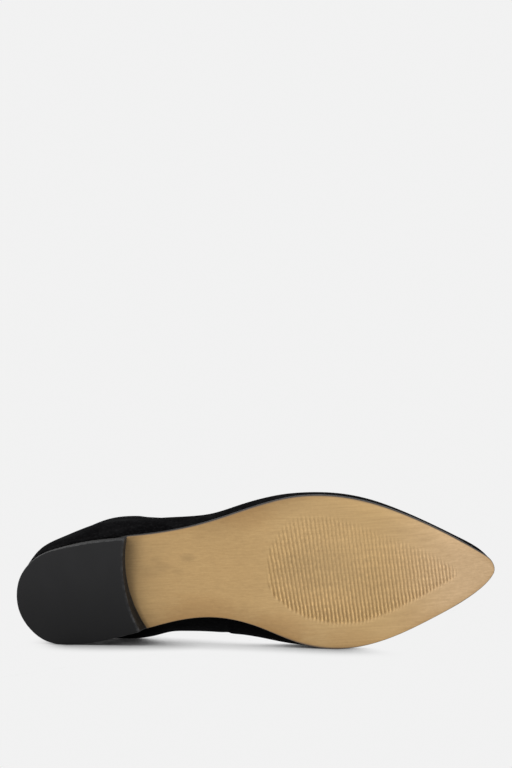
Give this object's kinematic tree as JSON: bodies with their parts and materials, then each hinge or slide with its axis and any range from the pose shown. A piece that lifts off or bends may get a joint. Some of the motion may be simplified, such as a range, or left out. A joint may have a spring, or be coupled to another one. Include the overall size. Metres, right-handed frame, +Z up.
{
  "type": "ballet flat shoe",
  "caption": "Right-foot pointed ballet flat in black suede with a thin tan sole and a low black heel block, lying on its medial side with the sole in view.",
  "frame": {"origin": "middle of the bounding box, at its bottom, where the shoe lies on its medial side", "axes": "+X from the heel to the toe, +Y from the sole towards the collar, +Z up, towards the lateral side"},
  "size_m": [0.2594, 0.065, 0.0844],
  "materials": {
    "outsole": "tan satin, lightly streaked, dark painted edge",
    "heel": "black matte",
    "upper": "black suede",
    "insole": "smooth tan lining leather"
  },
  "bodies": {
    "root": {"outsole": "outsole", "heel": "heel", "upper": "upper", "insole": "insole"}
  },
  "joints": []
}
